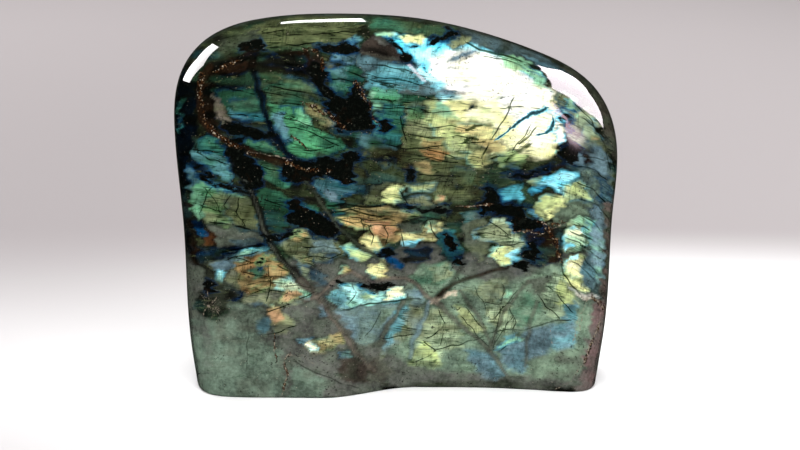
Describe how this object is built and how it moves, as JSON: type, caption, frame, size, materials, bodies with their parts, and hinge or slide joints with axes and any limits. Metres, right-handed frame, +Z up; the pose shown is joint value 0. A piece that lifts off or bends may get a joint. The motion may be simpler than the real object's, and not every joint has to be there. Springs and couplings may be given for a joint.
{
  "type": "labradorite freeform",
  "caption": "Polished upright stone slab with softly rounded edges, a bulging front and back and a flat sawn foot, for standing on a shelf as an ornament.",
  "frame": {"origin": "on the flat sawn foot, under the middle of the stone's box", "axes": "+X across the stone from left to right seen from the front, +Y from the front through to the back, +Z up"},
  "size_m": [0.146, 0.0598, 0.1217],
  "materials": {
    "labradorite": "glassy polish over a dark grey-green feldspar with blue, green and gold flash"
  },
  "bodies": {
    "root": {"stone": "labradorite"}
  },
  "joints": []
}
